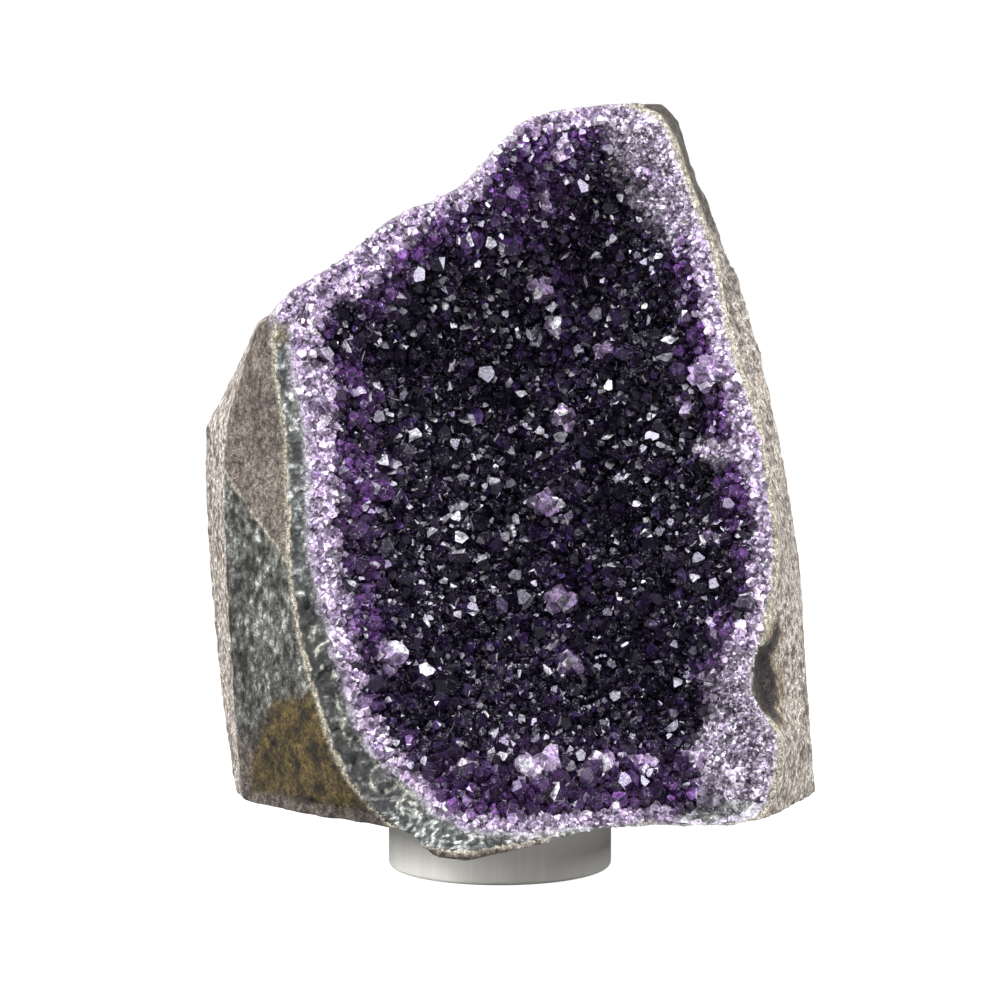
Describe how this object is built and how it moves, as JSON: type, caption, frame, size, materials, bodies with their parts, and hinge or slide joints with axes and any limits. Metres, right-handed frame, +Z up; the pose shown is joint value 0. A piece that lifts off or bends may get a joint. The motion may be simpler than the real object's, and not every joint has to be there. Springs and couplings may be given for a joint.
{
  "type": "amethyst geode on a display stand",
  "caption": "Cut-base amethyst geode: basalt host rock lined with a grey agate band, pale quartz and purple amethyst crystals, resting on a low round stand",
  "frame": {"origin": "centre of the stand's foot, on the surface it stands on", "axes": "+Z up, the crystal-lined face looks along -Y, +X to the viewer's right"},
  "size_m": [0.126, 0.0839, 0.1558],
  "materials": {
    "basalt": "rough sawn grey-brown basalt",
    "agate": "mottled grey-green agate, sawn and lightly polished",
    "pale_quartz": "white to lilac crystalline quartz",
    "amethyst": "dark violet crystal points with bright facets",
    "bright_amethyst": "clear bright purple crystal",
    "stand": "satin warm grey"
  },
  "bodies": {
    "root": {"host_rock": "basalt", "agate_band": "agate", "quartz_layer": "pale_quartz", "amethyst_druse": "amethyst", "crystal_01": "bright_amethyst", "crystal_02": "bright_amethyst", "crystal_03": "bright_amethyst", "crystal_04": "bright_amethyst", "crystal_05": "bright_amethyst", "crystal_06": "bright_amethyst", "crystal_07": "bright_amethyst", "crystal_08": "bright_amethyst", "crystal_09": "bright_amethyst", "crystal_10": "bright_amethyst", "crystal_11": "bright_amethyst", "crystal_12": "bright_amethyst", "crystal_13": "bright_amethyst", "crystal_14": "bright_amethyst", "crystal_15": "bright_amethyst", "crystal_16": "bright_amethyst", "crystal_17": "bright_amethyst", "crystal_18": "bright_amethyst", "crystal_19": "bright_amethyst", "display_stand": "stand"}
  },
  "joints": []
}
